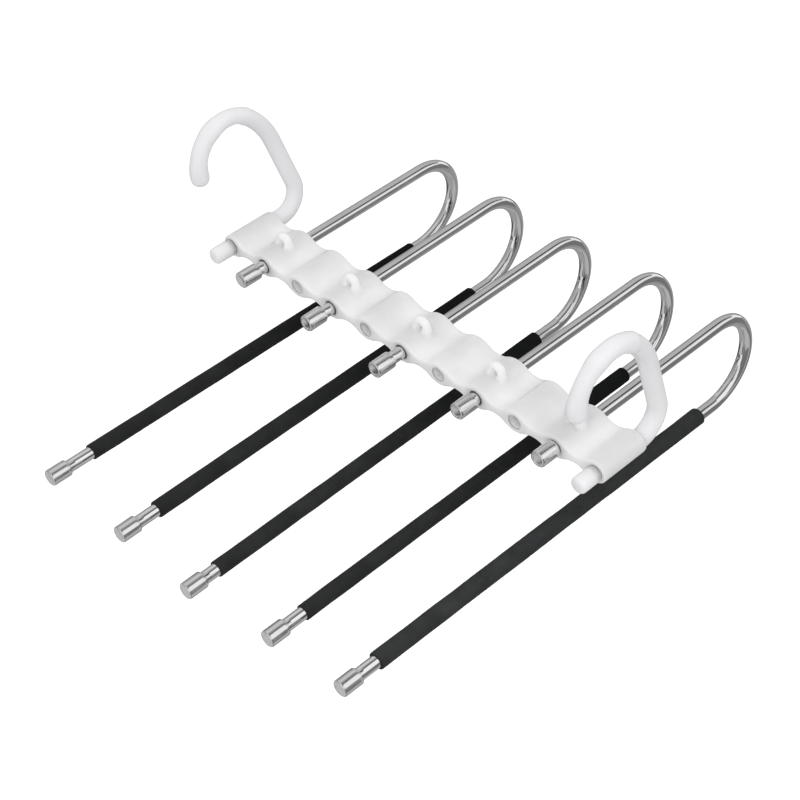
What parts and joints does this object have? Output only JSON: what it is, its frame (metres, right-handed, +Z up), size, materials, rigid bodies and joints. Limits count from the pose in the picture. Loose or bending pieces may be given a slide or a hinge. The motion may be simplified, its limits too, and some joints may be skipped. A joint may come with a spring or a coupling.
{
  "type": "trouser rack",
  "caption": "Hanging trouser rack: a wavy plastic bar on two swinging hooks carries U-shaped steel rods that slide and swivel, each with a foam sleeve on its lower arm.",
  "frame": {"origin": "on the underside of the hooks' crowns, half way between the two hooks, where the rack hangs on a wardrobe rail", "axes": "+X along the bar to the right hook, +Y along the rods towards their bends, +Z up"},
  "size_m": [0.3219, 0.3551, 0.159],
  "materials": {
    "bar_plastic": "slightly translucent white, satin",
    "hook_plastic": "cool white, satin",
    "steel": "polished stainless tube",
    "foam": "matt black foam"
  },
  "bodies": {
    "bar": {"bar": "bar_plastic"},
    "hook_left": {"hook_left": "hook_plastic", "hook_left_cap": "hook_plastic"},
    "hook_right": {"hook_right": "hook_plastic", "hook_right_cap": "hook_plastic"},
    "rod_1_slider": {"rod_1_short_cap": "steel"},
    "rod_1": {"rod_1_tube": "steel", "rod_1_sleeve": "foam", "rod_1_tip_cap": "steel"},
    "rod_2_slider": {"rod_2_short_cap": "steel"},
    "rod_2": {"rod_2_tube": "steel", "rod_2_sleeve": "foam", "rod_2_tip_cap": "steel"},
    "rod_3_slider": {"rod_3_short_cap": "steel"},
    "rod_3": {"rod_3_tube": "steel", "rod_3_sleeve": "foam", "rod_3_tip_cap": "steel"},
    "rod_4_slider": {"rod_4_short_cap": "steel"},
    "rod_4": {"rod_4_tube": "steel", "rod_4_sleeve": "foam", "rod_4_tip_cap": "steel"},
    "rod_5_slider": {"rod_5_short_cap": "steel"},
    "rod_5": {"rod_5_tube": "steel", "rod_5_sleeve": "foam", "rod_5_tip_cap": "steel"}
  },
  "joints": [
    {"name": "rod_1_slide", "type": "slide", "parent": "bar", "child": "rod_1_slider", "axis": [0, 1, 0], "range_m": [-0.1005, 0.0054]},
    {"name": "rod_1_swivel", "type": "hinge", "parent": "rod_1_slider", "child": "rod_1", "pos_m": [-0.12, 0.00808, -0.07968], "axis": [0, 1, 0], "range_deg": [-75, 128]},
    {"name": "rod_2_slide", "type": "slide", "parent": "bar", "child": "rod_2_slider", "axis": [0, 1, 0], "range_m": [-0.0992, 0.0067]},
    {"name": "rod_2_swivel", "type": "hinge", "parent": "rod_2_slider", "child": "rod_2", "pos_m": [-0.06, 0.00808, -0.07968], "axis": [0, 1, 0], "range_deg": [-71, 75]},
    {"name": "rod_3_slide", "type": "slide", "parent": "bar", "child": "rod_3_slider", "axis": [0, 1, 0], "range_m": [-0.0973, 0.0086]},
    {"name": "rod_3_swivel", "type": "hinge", "parent": "rod_3_slider", "child": "rod_3", "pos_m": [0, 0.00808, -0.07968], "axis": [0, 1, 0], "range_deg": [-75, 76]},
    {"name": "rod_4_slide", "type": "slide", "parent": "bar", "child": "rod_4_slider", "axis": [0, 1, 0], "range_m": [-0.1037, 0.0022]},
    {"name": "rod_4_swivel", "type": "hinge", "parent": "rod_4_slider", "child": "rod_4", "pos_m": [0.06, 0.00808, -0.07968], "axis": [0, 1, 0], "range_deg": [-71, 68]},
    {"name": "rod_5_slide", "type": "slide", "parent": "bar", "child": "rod_5_slider", "axis": [0, 1, 0], "range_m": [-0.1059, 0]},
    {"name": "rod_5_swivel", "type": "hinge", "parent": "rod_5_slider", "child": "rod_5", "pos_m": [0.12, 0.00808, -0.07968], "axis": [0, 1, 0], "range_deg": [-136, 69]},
    {"name": "hook_left_swing", "type": "hinge", "parent": "bar", "child": "hook_left", "pos_m": [-0.15, 0.00808, -0.07968], "axis": [0, 1, 0], "range_deg": [-186, 73]},
    {"name": "hook_right_swing", "type": "hinge", "parent": "bar", "child": "hook_right", "pos_m": [0.15, 0.00808, -0.07968], "axis": [0, -1, 0], "range_deg": [-194, 68]}
  ]
}
